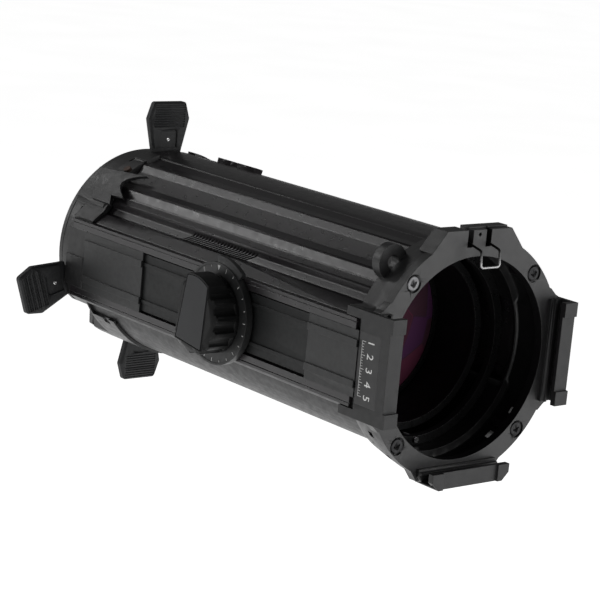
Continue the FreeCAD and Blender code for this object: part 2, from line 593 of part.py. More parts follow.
def rear_ring():
    body = fuse([ring(RING_R, REAR_BORE_R, GROOVE_D, LENGTH), ring(GROOVE_R, REAR_BORE_R, HOUSING_END, GROOVE_D)])
    body = body.cut(outside(GATE_OUTER, 380.0, LENGTH + 1))
    for k in range(4):
        x, z = polar(90.0 * k, REAR_PCD / 2.0)
        body = body.cut(rod_y(2.75, HOUSING_END - 1, LENGTH + 1, x, z))
    return body


def swing_slot(side):
    """Curved slot in a guide plate, centred on the shutter's swing centre."""
    reach = SWING_MAX + 9.5
    lobe = sector(42.1, 37.9, -reach, reach, 0, 500)
    return around(moved(lobe, z=PIVOT_R), SHUTTER_ANGLE[side])


def guide_plate(d0):
    """Plate with the gate aperture and a flat towards each shutter, inside the housing's outline."""
    plate = ring(HOUSING_IN, GATE_R, d0, d0 + 1.0)
    plate = plate.common(box(-PLATE_FLAT, PLATE_FLAT, d0, d0 + 1.0, -PLATE_FLAT, PLATE_FLAT))
    return plate.cut(outside(GATE_INNER, d0 - 1, d0 + 2))


def guide_plates():
    plates = [guide_plate(425.8)]
    for side in SHUTTER_D:
        plates.append(guide_plate(SHUTTER_D[side] + 2.5).cut(swing_slot(side)))
    return Part.makeCompound(plates)


def shutter_shoe(d_mid):
    """Guide shoe: a curved foot that runs in the plate's slot, with lips beside the blade's neck."""
    foot = moved(sector(44.0, 36.0, -19.0, 19.0, d_mid + 0.8, d_mid + 2.2), z=PIVOT_R)
    key = moved(sector(42.05, 37.95, -9.0, 9.0, d_mid + 2.0, d_mid + 3.3), z=PIVOT_R)
    lips = [box(x0, x0 + 2.2, d_mid - 0.8, d_mid + 1.0, 67.0, 72.5) for x0 in (NECK_HALF + 0.3, -NECK_HALF - 2.5)]
    return fuse([foot, key] + lips)


def shutter_blade(d_mid):
    """Steel blade with a narrow neck that runs into the grip."""
    outline = [(-38.0, -2.0), (38.0, -2.0), (38.0, 14.0), (30.0, 22.0), (NECK_HALF, 22.0), (NECK_HALF, 112.0),
               (-NECK_HALF, 112.0), (-NECK_HALF, 22.0), (-30.0, 22.0), (-38.0, 14.0)]
    return prism(outline, d_mid - 0.5, d_mid + 0.5)


def shutter_grip(d_mid):
    """Moulded grip: six-sided paddle with a ridged field and a recessed pad round the rivet."""
    paddle = [(-16.8, 98.0), (16.8, 98.0), (23.2, 125.0), (17.9, GRIP_TIP), (-17.9, GRIP_TIP), (-23.2, 125.0)]
    root = [(-15.5, GRIP_ROOT), (15.5, GRIP_ROOT), (16.8, 98.0), (-16.8, 98.0)]
    thick = prism(paddle, d_mid - HANDLE_T / 2, d_mid + HANDLE_T / 2)
    upright = [e for e in thick.Edges if abs(e.BoundBox.YLength - HANDLE_T) < 1e-4 and e.BoundBox.ZMin > 120.0]
    thick = thick.makeFillet(3.5, upright)
    front = [e for e in thick.Edges if abs(e.BoundBox.YLength) < 1e-4 and e.BoundBox.ZMax > 98.5]
    thick = thick.makeChamfer(1.6, front)
    grip = fuse([thick, prism(root, d_mid - 2.2, d_mid + 2.2)])
    for k in range(10):
        z0 = 117.2 + 2.3 * k
        for side in (-1, 1):
            d_cut = d_mid + side * HANDLE_T / 2
            grip = grip.cut(box(-17.0, 17.0, d_cut - 0.9, d_cut + 0.9, z0, z0 + 1.15))
    pad = box(-9.8, 9.8, d_mid - HANDLE_T, d_mid - HANDLE_T / 2 + 1.3, 97.0, 115.0)
    pad = pad.makeFillet(3.0, [e for e in pad.Edges if abs(e.BoundBox.YLength) > 1.0 and e.BoundBox.ZMin > 110])
    grip = grip.cut(pad)
    return grip.cut(box(-NECK_HALF, NECK_HALF, d_mid - 0.5, d_mid + 0.5, 80.0, 112.0))


def placed(shape, side, out):
    """Push a piece out along the shutter, swing it about its swing centre, then turn it to its side."""
    shape = moved(shape, z=out)
    shape = around(shape, SHUTTER_SWING[side], 0.0, PIVOT_R)
    return around(shape, SHUTTER_ANGLE[side])


for side, d_mid in SHUTTER_D.items():
    save(side + "_shutter_shoe", placed(shutter_shoe(d_mid), side, 0.0))
    save(side + "_shutter_blade", placed(shutter_blade(d_mid), side, SHUTTER_OUT[side]))
    save(side + "_shutter_grip", placed(shutter_grip(d_mid), side, SHUTTER_OUT[side]))

save("rear_housing", rear_housing())
save("rear_ring", rear_ring())
save("shutter_guide_plates", guide_plates())

# sliding cover over the drop-in slot, and the knurled bronze screw beside it
COVER_R = (97.5, 100.6)
COVER_OUTLINE = [(35.4, 374.0), (36.9, 382.5), (38.7, 389.0), (40.8, 394.0), (43.3, 397.0), (45.6, 396.0),
                 (47.8, 392.0), (49.8, 386.5), (52.0, 380.0), (52.6, 398.0), (57.5, 392.0), (57.4, 422.0),
                 (38.5, 444.0)]          # angle and d


def slot_cover():
    """Curved plate with a swept front edge: its outline is laid flat over its middle, then carried inwards."""
    middle = 47.0
    points = [V(-99.0 * math.sin(math.radians(a - middle)), d - LENGTH, 80.0) for a, d in COVER_OUTLINE]
    block = Part.Face(Part.makePolygon(points + points[:1])).extrude(V(0, 0, 30))
    return around(block, middle).common(ring(COVER_R[1], COVER_R[0], 360.0, 450.0))


def slot_catch():
    head = Part.makeCylinder(CATCH_HEAD_R, 3.0, V(0, CATCH_D - LENGTH, 96.4), V(0, 0, 1))
    for k in range(16):
        angle = 2.0 * math.pi * k / 16
        place = V((CATCH_HEAD_R + 0.3) * math.cos(angle), CATCH_D - LENGTH + (CATCH_HEAD_R + 0.3) * math.sin(angle), 96.0)
        head = head.cut(Part.makeCylinder(0.55, 4.0, place, V(0, 0, 1)))
    return around(head.fuse(catch_shank()).removeSplitter(), CATCH_ANGLE)


save("slot_cover", slot_cover())
save("slot_catch", slot_catch())
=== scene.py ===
import json
import math

import bmesh
import bpy
import numpy as np
from mathutils import Matrix, Vector

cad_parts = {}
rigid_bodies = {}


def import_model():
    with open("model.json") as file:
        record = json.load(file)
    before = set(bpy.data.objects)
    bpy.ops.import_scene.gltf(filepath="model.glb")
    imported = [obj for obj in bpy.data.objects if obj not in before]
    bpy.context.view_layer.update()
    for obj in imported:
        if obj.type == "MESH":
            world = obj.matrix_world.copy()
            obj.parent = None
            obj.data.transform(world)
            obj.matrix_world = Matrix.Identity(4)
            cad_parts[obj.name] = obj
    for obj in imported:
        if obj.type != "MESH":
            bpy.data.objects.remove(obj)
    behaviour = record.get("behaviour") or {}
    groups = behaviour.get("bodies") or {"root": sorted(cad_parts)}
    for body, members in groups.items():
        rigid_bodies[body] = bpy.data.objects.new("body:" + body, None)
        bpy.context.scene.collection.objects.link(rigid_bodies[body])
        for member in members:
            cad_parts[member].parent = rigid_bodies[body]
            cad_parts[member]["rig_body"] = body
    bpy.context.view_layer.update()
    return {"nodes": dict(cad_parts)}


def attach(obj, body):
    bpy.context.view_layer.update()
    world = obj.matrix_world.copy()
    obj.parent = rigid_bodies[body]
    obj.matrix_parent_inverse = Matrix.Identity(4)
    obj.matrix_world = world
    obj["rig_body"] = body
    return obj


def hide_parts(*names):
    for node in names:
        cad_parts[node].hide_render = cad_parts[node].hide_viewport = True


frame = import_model()

# ---- front plate -------------------------------------------------------------------------------
# The front plate is an aluminium die casting with a round light opening, a hood tab at the top and
# four countersunk screw seats. It is blasted and powder coated satin black with a fine texture.
MM = 0.001


def texture_place(tree):
    """Object coordinates, in metres."""
    return tree.nodes.new("ShaderNodeTexCoord").outputs["Object"]


def noise(tree, place, scale, detail=3.0, roughness=0.5):
    """Fractal noise whose lumps are about 1 / scale metres across."""
    node = tree.nodes.new("ShaderNodeTexNoise")
    node.inputs["Scale"].default_value = scale
    node.inputs["Detail"].default_value = detail
    node.inputs["Roughness"].default_value = roughness
    tree.links.new(place, node.inputs["Vector"])
    return node.outputs["Fac"]


def ramp(tree, value, stops):
    """Colour along a value: stops are (place, colour) pairs."""
    node = tree.nodes.new("ShaderNodeValToRGB")
    node.color_ramp.elements[0].position, node.color_ramp.elements[0].color = stops[0][0], (*stops[0][1], 1)
    node.color_ramp.elements[1].position, node.color_ramp.elements[1].color = stops[-1][0], (*stops[-1][1], 1)
    for place, colour in stops[1:-1]:
        node.color_ramp.elements.new(place).color = (*colour, 1)
    tree.links.new(value, node.inputs["Fac"])
    return node.outputs["Color"]


def spread(tree, value, low, high):
    """The value's 0.3 to 0.7 carried to low to high, and held there."""
    node = tree.nodes.new("ShaderNodeMapRange")
    for socket, number in (("From Min", 0.3), ("From Max", 0.7), ("To Min", low), ("To Max", high)):
        node.inputs[socket].default_value = number
    tree.links.new(value, node.inputs["Value"])
    return node.outputs["Result"]


def bump(tree, height, distance, strength, under=None):
    node = tree.nodes.new("ShaderNodeBump")
    node.inputs["Distance"].default_value = distance
    node.inputs["Strength"].default_value = strength
    tree.links.new(height, node.inputs["Height"])
    if under is not None:
        tree.links.new(under, node.inputs["Normal"])
    return node.outputs["Normal"]


def rounded(tree, radius):
    """The surface's direction with every edge rounded off by a small radius, as a die or a tool leaves it."""
    node = tree.nodes.new("ShaderNodeBevel")
    node.samples = 4
    node.inputs["Radius"].default_value = radius
    return node.outputs["Normal"]


def new_material(name):
    """An empty node material: its tree and its one shader."""
    material = bpy.data.materials.new(name)
    material.use_nodes = True
    return material, material.node_tree, material.node_tree.nodes["Principled BSDF"]


def coated_metal(name, dark, light, rough, grain, grain_height, shine=0.5):
    """Powder coat: fine orange peel, faint cloudiness, and a lighter line rubbed along the edges."""
    material, tree, shader = new_material(name)
    place = texture_place(tree)
    cloud = noise(tree, place, 34.0, 4.0, 0.6)
    colour = ramp(tree, cloud, ((0.3, dark), (0.72, light)))
    soft = rounded(tree, 0.7 * MM)
    turned = tree.nodes.new("ShaderNodeVectorMath")
    turned.operation = "DOT_PRODUCT"
    tree.links.new(soft, turned.inputs[0])
    tree.links.new(tree.nodes.new("ShaderNodeNewGeometry").outputs["Normal"], turned.inputs[1])
    edge = tree.nodes.new("ShaderNodeMapRange")
    for socket, number in (("From Min", 0.985), ("From Max", 0.90), ("To Min", 0.0), ("To Max", 0.45)):
        edge.inputs[socket].default_value = number
    tree.links.new(turned.outputs["Value"], edge.inputs["Value"])
    mix = tree.nodes.new("ShaderNodeMix")
    mix.data_type = "RGBA"
    mix.inputs["B"].default_value = (light[0] * 2.2, light[1] * 2.2, light[2] * 2.2, 1)
    tree.links.new(edge.outputs["Result"], mix.inputs["Factor"])
    tree.links.new(colour, mix.inputs["A"])
    tree.links.new(mix.outputs["Result"], shader.inputs["Base Color"])
    uneven = spread(tree, noise(tree, place, 160.0, 2.0), rough[0], rough[1])
    tree.links.new(uneven, shader.inputs["Roughness"])
    fine = bump(tree, noise(tree, place, grain, 2.0, 0.55), grain_height, 0.8, soft)
    tree.links.new(bump(tree, noise(tree, place, 130.0, 2.0), 0.000012, 0.5, fine), shader.inputs["Normal"])
    shader.inputs["Specular IOR Level"].default_value = shine
    return material


def finished(node, piece_name, material, lining=None, curved=False):
    """A merged copy of a turned, cast or moulded piece, smooth along its curves and crisp at its edges.

    Faces that look towards the optical axis take the lining, if the piece has one. A curved piece is shaded
    evenly all over; on the others the large flat faces keep their own direction up to their edges.
    """
    source = frame["nodes"][node]
    shape = bmesh.new()
    shape.from_mesh(source.data)
    bmesh.ops.remove_doubles(shape, verts=shape.verts, dist=1e-6)
    mesh = bpy.data.meshes.new(piece_name)
    shape.to_mesh(mesh)
    shape.free()
    mesh.materials.append(material)
    mesh.polygons.foreach_set("use_smooth", [True] * len(mesh.polygons))
    mesh.set_sharp_from_angle(angle=math.radians(30 if curved else 22))
    if lining is not None:
        mesh.materials.append(lining)
        middles = np.empty(len(mesh.polygons) * 3)
        normals = np.empty(len(mesh.polygons) * 3)
        mesh.polygons.foreach_get("center", middles)
        mesh.polygons.foreach_get("normal", normals)
        inward = np.sum(middles.reshape(-1, 3)[:, (0, 2)] * normals.reshape(-1, 3)[:, (0, 2)], axis=1) < -0.01
        mesh.polygons.foreach_set("material_index", inward.astype(np.int32))
    piece = bpy.data.objects.new(piece_name, mesh)
    bpy.context.scene.collection.objects.link(piece)
    if not curved:
        flats = piece.modifiers.new("flats_stay_flat", "WEIGHTED_NORMAL")
        flats.mode = "FACE_AREA"
        flats.keep_sharp = True
    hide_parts(node)
    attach(piece, source["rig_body"])
    return piece


BLACK_DARK = (0.0088, 0.0088, 0.0092)
BLACK_LIGHT = (0.0112, 0.0112, 0.0116)
casting_coat = coated_metal("satin_black_powder_coat", BLACK_DARK, BLACK_LIGHT, (0.36, 0.50), 2300.0, 0.00004)
inner_black = coated_metal("matt_black_anodised", (0.0022, 0.0022, 0.0024), (0.0036, 0.0036, 0.0038),
                           (0.46, 0.62), 1800.0, 0.00003, 0.14)
finished("front_plate", "front_plate_casting", casting_coat, inner_black)

# ---- front screws ------------------------------------------------------------------------------
# Four cross-head screws hold the plate to the bezel. Three are blackened steel; the upper left one is a
# plain zinc-plated spare.


def metal(name, dark, light, rough, grain, grain_height):
    """Bare or plated metal: faint stains in its colour, uneven polish, and a fine grain."""
    material, tree, shader = new_material(name)
    place = texture_place(tree)
    tree.links.new(ramp(tree, noise(tree, place, 260.0, 4.0, 0.6), ((0.3, dark), (0.7, light))),
                   shader.inputs["Base Color"])
    shader.inputs["Metallic"].default_value = 1.0
    uneven = spread(tree, noise(tree, place, 700.0, 3.0), rough[0], rough[1])
    tree.links.new(uneven, shader.inputs["Roughness"])
    tree.links.new(bump(tree, noise(tree, place, grain, 2.0), grain_height, 0.6, rounded(tree, 0.3 * MM)),
                   shader.inputs["Normal"])
    return material


zinc = metal("zinc_plated_steel", (0.11, 0.11, 0.114), (0.17, 0.17, 0.174), (0.26, 0.40), 5200.0, 0.000012)
black_steel = metal("blackened_steel", (0.022, 0.022, 0.023), (0.040, 0.040, 0.041), (0.30, 0.44),
                    5200.0, 0.000012)
screws = finished("front_screws", "front_plate_screws", black_steel)
screws.data.materials.append(zinc)
screw_middles = np.empty(len(screws.data.polygons) * 3)
screws.data.polygons.foreach_get("center", screw_middles)
screw_middles = screw_middles.reshape(-1, 3)
screws.data.polygons.foreach_set("material_index", ((screw_middles[:, 0] < 0) & (screw_middles[:, 2] > 0)
                                                    & (screw_middles[:, 1] < -0.4582)).astype(np.int32))

# ---- colour-frame rails ------------------------------------------------------------------------
# Three channel rails are cast with the same alloy and coat, and screwed to the front plate from behind.
rail_coat = coated_metal("satin_black_rail_coat", BLACK_DARK, BLACK_LIGHT, (0.38, 0.52),
                         2300.0, 0.00004, 0.36)
for side in ("left", "right", "bottom"):
    finished(side + "_frame_rail", side + "_frame_rail_casting", rail_coat)

# ---- beam-angle scales -------------------------------------------------------------------------
# A matt black film is let into each side rail. A plain scale of ticks with numbers is screen printed on it
# in white ink, read from above to below.
label_film = coated_metal("matt_black_film", (0.006, 0.006, 0.0065), (0.009, 0.009, 0.0095), (0.42, 0.52),
                          4000.0, 0.00001)


def white_ink():
    """Screen ink: slightly uneven cover and a fine mesh of the screen."""
    material, tree, shader = new_material("white_screen_ink")
    place = texture_place(tree)
    tree.links.new(ramp(tree, noise(tree, place, 900.0, 4.0, 0.7), ((0.25, (0.42, 0.42, 0.42)),
                                                                    (0.6, (0.72, 0.72, 0.71)))),
                   shader.inputs["Base Color"])
    tree.links.new(spread(tree, noise(tree, place, 2400.0), 0.5, 0.7), shader.inputs["Roughness"])
    tree.links.new(bump(tree, noise(tree, place, 6000.0, 2.0), 0.00001, 0.6), shader.inputs["Normal"])
    return material


ink = white_ink()


def made(name, points, faces, material, body, smooth=False):
    """A new piece from its points and faces, with its faces turned outwards."""
    mesh = bpy.data.meshes.new(name)
    mesh.from_pydata(np.asarray(points).tolist(), [], np.asarray(faces).tolist())
    shape = bmesh.new()
    shape.from_mesh(mesh)
    bmesh.ops.recalc_face_normals(shape, faces=shape.faces)
    shape.to_mesh(mesh)
    shape.free()
    mesh.materials.append(material)
    mesh.polygons.foreach_set("use_smooth", [smooth] * len(mesh.polygons))
    piece = bpy.data.objects.new(name, mesh)
    bpy.context.scene.collection.objects.link(piece)
    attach(piece, body)
    return piece


def bars(middles, long_half, wide_half, thick_half):
    """Small bars: each corner is the middle, plus or minus its long, wide and thick half vectors."""
    signs = np.array([(a, b, c) for a in (-1, 1) for b in (-1, 1) for c in (-1, 1)], float)
    halves = np.stack([np.broadcast_to(half, np.shape(middles))
                       for half in (long_half, wide_half, thick_half)], axis=1)
    points = np.asarray(middles)[:, None, :] + np.einsum("sk,nkj->nsj", signs, halves)
    one = np.array([(0, 1, 3, 2), (4, 6, 7, 5), (0, 4, 5, 1), (2, 3, 7, 6), (0, 2, 6, 4), (1, 5, 7, 3)])
    faces = one[None] + 8 * np.arange(len(middles))[:, None, None]
    return points.reshape(-1, 3), faces.reshape(-1, 4)


def number_mesh(text, size):
    """A number as a thin mesh in its own plane: right is +X, up is +Y, the face looks along +Z."""
    curve = bpy.data.curves.new("number", "FONT")
    curve.body = text
    curve.size = size
    curve.extrude = 0.00006
    curve.resolution_u = 3
    curve.align_x = "CENTER"
    curve.align_y = "CENTER"
    holder = bpy.data.objects.new("number", curve)
    bpy.context.scene.collection.objects.link(holder)
    drawn = bpy.data.meshes.new_from_object(holder.evaluated_get(bpy.context.evaluated_depsgraph_get()))
    points = np.array([tuple(v.co) for v in drawn.vertices])
    faces = [tuple(p.vertices) for p in drawn.polygons]
    bpy.data.objects.remove(holder)
    bpy.data.curves.remove(curve)
    bpy.data.meshes.remove(drawn)
    return points, faces


def printed(name, text, size, origin, right, up, body):
    """A printed number with its middle at origin, reading along right."""
    points, faces = number_mesh(text, size)
    right, up = np.array(right, float), np.array(up, float)
    placed = (np.array(origin) + points[:, :1] * right + points[:, 1:2] * up
              + points[:, 2:] * np.cross(right, up))
    mesh = bpy.data.meshes.new(name)
    mesh.from_pydata(placed.tolist(), [], faces)
    mesh.materials.append(ink)
    piece = bpy.data.objects.new(name, mesh)
    bpy.context.scene.collection.objects.link(piece)
    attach(piece, body)


PLATE_FACE = -460.0       # mm along Y, as all sizes from here on
LABEL_FACE = 101.03
SCALE_BACK = 13.6         # line of the ticks, behind the plate's face
NUMBER_BACK = 3.6
SCALE_TOP = 20.0
SCALE_STEPS = 21
SCALE_PITCH = 2.2
NUMBER_PITCH = 11.0
STROKE_HALF = 0.16
INK_HALF = 0.05
for side, sign in (("left", -1.0), ("right", 1.0)):
    finished(side + "_range_label", side + "_range_film", label_film)
    face_x = sign * LABEL_FACE * MM
    steps = np.arange(SCALE_STEPS)
    tick_z = (SCALE_TOP - SCALE_PITCH * steps) * MM
    tick_half = np.where(steps % 5 == 0, 2.1, 1.1) * MM
    line_y = (PLATE_FACE + SCALE_BACK) * MM
    middles = np.stack([np.full(SCALE_STEPS, face_x), line_y - tick_half, tick_z], axis=1)
    long_half = np.stack([np.zeros(SCALE_STEPS), tick_half, np.zeros(SCALE_STEPS)], axis=1)
    line = np.array([[face_x, line_y, -2.0 * MM]])
    line_half = (SCALE_STEPS - 1) * SCALE_PITCH / 2 + STROKE_HALF
    points, faces = bars(np.concatenate([middles, line]),
                         np.concatenate([long_half, [[0, STROKE_HALF * MM, 0]]]),
                         np.concatenate([np.tile([0, 0, STROKE_HALF * MM], (SCALE_STEPS, 1)),
                                         [[0, 0, line_half * MM]]]),
                         np.array([INK_HALF * MM, 0, 0]))
    made(side + "_range_ticks", points, faces, ink, "housing")
    for k, text in enumerate(("1", "2", "3", "4", "5")):
        printed(f"{side}_range_number_{k}", text, 10.5 * MM,
                (face_x, (PLATE_FACE + NUMBER_BACK) * MM, (SCALE_TOP - NUMBER_PITCH * k) * MM),
                (0, 0, -1), (0, sign, 0), "housing")

# ---- wire clip ---------------------------------------------------------------------------------
# The clip is one length of 2 mm spring wire, light low down and painted near black in shade at its top ends.
wire_steel, wire_tree, wire_shader = new_material("spring_wire_with_painted_shade")
wire_place = texture_place(wire_tree)
wire_height = wire_tree.nodes.new("ShaderNodeSeparateXYZ")
wire_tree.links.new(wire_place, wire_height.inputs["Vector"])
# Painted shade: the wire darkens between 80 and 93 mm up and is near black above, where its ends enter the
# plate.
wire_height_shade = wire_tree.nodes.new("ShaderNodeMapRange")
for socket, number in (("From Min", 0.080), ("From Max", 0.093), ("To Min", 0.0), ("To Max", 1.0)):
    wire_height_shade.inputs[socket].default_value = number
wire_tree.links.new(wire_height.outputs["Z"], wire_height_shade.inputs["Value"])
wire_shade_and_blotch = wire_tree.nodes.new("ShaderNodeMath")
wire_shade_and_blotch.operation = "ADD"
wire_tree.links.new(wire_height_shade.outputs["Result"], wire_shade_and_blotch.inputs[0])
wire_tree.links.new(spread(wire_tree, noise(wire_tree, wire_place, 420.0, 3.0), -0.15, 0.15),
                    wire_shade_and_blotch.inputs[1])
wire_colour = ramp(wire_tree, wire_shade_and_blotch.outputs["Value"],
                   ((0.05, (0.30, 0.30, 0.30)), (0.5, (0.07, 0.07, 0.07)), (0.95, (0.018, 0.018, 0.018))))
wire_tree.links.new(wire_colour, wire_shader.inputs["Base Color"])
wire_shader.inputs["Metallic"].default_value = 1.0
wire_tree.links.new(spread(wire_tree, noise(wire_tree, wire_place, 900.0), 0.22, 0.38),
                    wire_shader.inputs["Roughness"])
wire_tree.links.new(bump(wire_tree, noise(wire_tree, wire_place, 5000.0, 2.0), 0.00001, 0.6),
                    wire_shader.inputs["Normal"])
finished("wire_clip", "wire_clip_spring", wire_steel, curved=True)

# ---- front bezel -------------------------------------------------------------------------------
# The bezel is a thin-walled casting that flares from the barrel to the front plate and is screwed to both.
# The vents and the lug for a safety cable are cast in, and its inside is matt black.
finished("front_bezel", "front_bezel_casting", casting_coat, inner_black)

# ---- barrel shells -----------------------------------------------------------------------------
# The upper shell is an extrusion with broad flutes; the lower one is smooth. Both share the castings' coat,
# and the draw lines of the extrusion die still show faintly along the flutes.


def extruded_coat(name, light, rough, shine):
    """The castings' coat over an extrusion: the fine texture, plus long faint lines along Y."""
    material = coated_metal(name, BLACK_DARK, light, rough, 2600.0, 0.00003, shine)
    tree = material.node_tree
    shader = tree.nodes["Principled BSDF"]
    drawn = tree.nodes.new("ShaderNodeMapping")
    drawn.inputs["Scale"].default_value = (1.0, 0.012, 1.0)
    tree.links.new(texture_place(tree), drawn.inputs["Vector"])
    under = shader.inputs["Normal"].links[0].from_socket
    tree.links.new(bump(tree, noise(tree, drawn.outputs["Vector"], 420.0, 2.0), 0.00003, 0.5, under),
                   shader.inputs["Normal"])
    return material


# The extrusion coat's lighter tone is tinted purple: a painted reflection, laid over the whole coat.
barrel_coat = extruded_coat("satin_black_extrusion_coat", (0.0135, 0.0108, 0.0128), (0.27, 0.36), 0.5)
belly_coat = extruded_coat("satin_black_belly_coat", BLACK_LIGHT, (0.36, 0.48), 0.20)
finished("upper_shell", "upper_shell_extrusion", barrel_coat, inner_black, curved=True)
finished("lower_shell", "lower_shell_extrusion", belly_coat, inner_black, curved=True)

# ---- side tracks and their covers --------------------------------------------------------------
# Each track is an extrusion. Its fixed and sliding covers are moulded in a finely spark-textured black
# plastic, and the sliding one is the duller of the two.


def moulded_plastic(name, dark, light, rough, grain, grain_height, shine):
    """Moulded black plastic with a spark-eroded texture and faint flow clouds."""
    material, tree, shader = new_material(name)
    place = texture_place(tree)
    tree.links.new(ramp(tree, noise(tree, place, 22.0, 4.0, 0.6), ((0.3, dark), (0.7, light))),
                   shader.inputs["Base Color"])
    uneven = spread(tree, noise(tree, place, 240.0, 3.0), rough[0], rough[1])
    tree.links.new(uneven, shader.inputs["Roughness"])
    fine = bump(tree, noise(tree, place, grain, 2.0, 0.6), grain_height, 0.7, rounded(tree, 0.5 * MM))
    tree.links.new(fine, shader.inputs["Normal"])
    shader.inputs["Specular IOR Level"].default_value = shine
    return material


cover_plastic = moulded_plastic("spark_textured_black_plastic", (0.0082, 0.0086, 0.0088),
                                (0.0106, 0.0112, 0.0114), (0.40, 0.52), 3000.0, 0.00003, 0.42)
slide_plastic = moulded_plastic("sliding_cover_black_plastic", (0.0062, 0.0067, 0.0068),
                                (0.0084, 0.0090, 0.0091), (0.42, 0.54), 3000.0, 0.00003, 0.24)
for side in ("left", "right"):
    # The tracks take the extrusion coat with its painted purple reflection.
    finished(side + "_track", side + "_track_extrusion", barrel_coat)
    finished(side + "_end_block", side + "_end_block_casting", rail_coat)
    for part in ("front_cover", "rear_cover"):
        finished(f"{side}_{part}", f"{side}_{part}_moulding", cover_plastic)
    finished(side + "_slide_plate", side + "_slide_plate_moulding", slide_plastic)

# ---- dials and knobs ---------------------------------------------------------------------------
# The dial is a moulded disc with printed marks. The knob is a scalloped moulding that clamps the lens
# carriage, with a smooth plate let into its bar.
knob_plastic = moulded_plastic("semi_matt_knob_plastic", (0.0040, 0.0041, 0.0042), (0.0060, 0.0062, 0.0063),
                               (0.38, 0.48), 3600.0, 0.00002, 0.14)
inlay_plastic = moulded_plastic("smooth_dark_grey_plastic", (0.012, 0.0126, 0.0138), (0.0150, 0.0158, 0.0172),
                                (0.30, 0.40), 4200.0, 0.00001, 0.22)
for side in ("left", "right"):
    finished(side + "_dial", side + "_dial_moulding", cover_plastic)
    finished(side + "_knob", side + "_knob_moulding", knob_plastic)
    finished(side + "_knob_inlay", side + "_knob_inlay_plate", inlay_plastic)

# The dial's marks are printed on its face: a tick every 15 degrees with every third one longer, a triangle
# instead of the one at the top, and small numbers beside it.
KNOB_Y = (PLATE_FACE + 194.0) * MM
DIAL_FACE = 107.33
DIAL_TICKS = 24
TICK_R = 41.2             # outer ends of the ticks
NUMBER_R = 38.3
INDEX_R = (37.2, 41.4)
INDEX_HALF = 1.9
for side, sign in (("left", -1.0), ("right", 1.0)):
    turns = np.radians(np.arange(DIAL_TICKS) * 360.0 / DIAL_TICKS)
    outward = np.stack([np.zeros(DIAL_TICKS), np.sin(turns), np.cos(turns)], axis=1)
    along = np.stack([np.zeros(DIAL_TICKS), np.cos(turns), -np.sin(turns)], axis=1)
    centre = np.array([sign * DIAL_FACE * MM, KNOB_Y, 0.0])
    tick_half = np.where(np.arange(DIAL_TICKS) % 3 == 0, 1.5, 0.9) * MM
    ticks = np.arange(DIAL_TICKS) > 0
    points, faces = bars((centre + outward * (TICK_R * MM - tick_half[:, None]))[ticks],
                         (outward * tick_half[:, None])[ticks], (along * 0.22 * MM)[ticks],
                         np.array([INK_HALF * MM, 0, 0]))
    made(side + "_dial_ticks", points, faces, ink, side + "_carriage")
    flat = np.array([(0.0, INDEX_R[0]), (-INDEX_HALF, INDEX_R[1]), (INDEX_HALF, INDEX_R[1])]) * MM
    front = np.stack([np.full(3, sign * (DIAL_FACE + 0.07) * MM), KNOB_Y + flat[:, 0], flat[:, 1]], axis=1)
    back = front - np.array([sign * 0.12 * MM, 0, 0])
    triangle = [(0, 1, 2), (3, 5, 4), (0, 3, 4), (0, 4, 1), (1, 4, 5), (1, 5, 2), (2, 5, 3), (2, 3, 0)]
    made(side + "_dial_index", np.concatenate([front, back]), triangle, ink, side + "_carriage")
    for k, text in ((-1, "1"), (1, "2"), (2, "3"), (3, "4")):
        turn = math.radians(22.5 * k + 7.5)
        up = np.array([0.0, math.sin(turn), math.cos(turn)])
        place = centre + np.array([sign * INK_HALF * MM, 0.0, 0.0]) + NUMBER_R * MM * up
        right = np.cross(up, np.array([sign, 0.0, 0.0]))
        printed(f"{side}_dial_number_{text}", text, 3.4 * MM, place, right, up, side + "_carriage")

# ---- gate section ------------------------------------------------------------------------------
# The gate housing and rear ring are castings with the powder coat outside. The cover of the drop-in slot
# is a thin curved casting that slides on the housing.
finished("rear_housing", "rear_housing_casting", casting_coat, inner_black)
finished("rear_ring", "rear_ring_casting", casting_coat)
finished("slot_cover", "slot_cover_casting", casting_coat)

# The knurled screw beside the slot's cover is dull bronze.
bronze = metal("dull_bronze", (0.060, 0.042, 0.036), (0.105, 0.078, 0.066), (0.38, 0.52), 4200.0, 0.00002)
finished("slot_catch", "slot_catch_screw", bronze)

# ---- shutters ----------------------------------------------------------------------------------
# Each shutter is a stainless blade in a glass-filled nylon grip, held by a bright tubular rivet in the grip's
# recessed pad. Shoes and guide plates are the same stainless sheet, darkened by the lamp's heat.
heated_steel = metal("heat_darkened_stainless", (0.16, 0.14, 0.12), (0.30, 0.28, 0.26), (0.30, 0.46),
                     3800.0, 0.000015)
grip_nylon = moulded_plastic("glass_filled_nylon", (0.0120, 0.0124, 0.0130), (0.0170, 0.0175, 0.0183),
                             (0.46, 0.60), 2200.0, 0.00005, 0.24)
rivet_steel = metal("bright_rivet_steel", (0.62, 0.62, 0.62), (0.78, 0.78, 0.78), (0.16, 0.28),
                    5000.0, 0.00001)
finished("shutter_guide_plates", "shutter_guide_sheets", heated_steel)


def rivet(radius, height, hole):
    """Tubular rivet head: a dome profile turned about +Z, with a rolled edge round its hole."""
    profile = np.array([(radius, 0.0), (radius, 0.25 * height), (0.86 * radius, 0.75 * height),
                        (0.64 * radius, height), (0.48 * radius, 0.92 * height), (hole, 0.55 * height),
                        (hole, 0.0)])
    turns = np.linspace(0.0, 2.0 * np.pi, 25)[:-1]
    points = np.stack([profile[None, :, 0] * np.cos(turns)[:, None],
                       profile[None, :, 0] * np.sin(turns)[:, None],
                       np.broadcast_to(profile[None, :, 1], (24, 7))], axis=2).reshape(-1, 3)
    a, b = np.meshgrid(np.arange(24), np.arange(7), indexing="ij")
    here, step = a * 7 + b, ((a + 1) % 24) * 7 + b
    following, both = a * 7 + (b + 1) % 7, ((a + 1) % 24) * 7 + (b + 1) % 7
    return points, np.stack([here, step, both, following], axis=2).reshape(-1, 4)


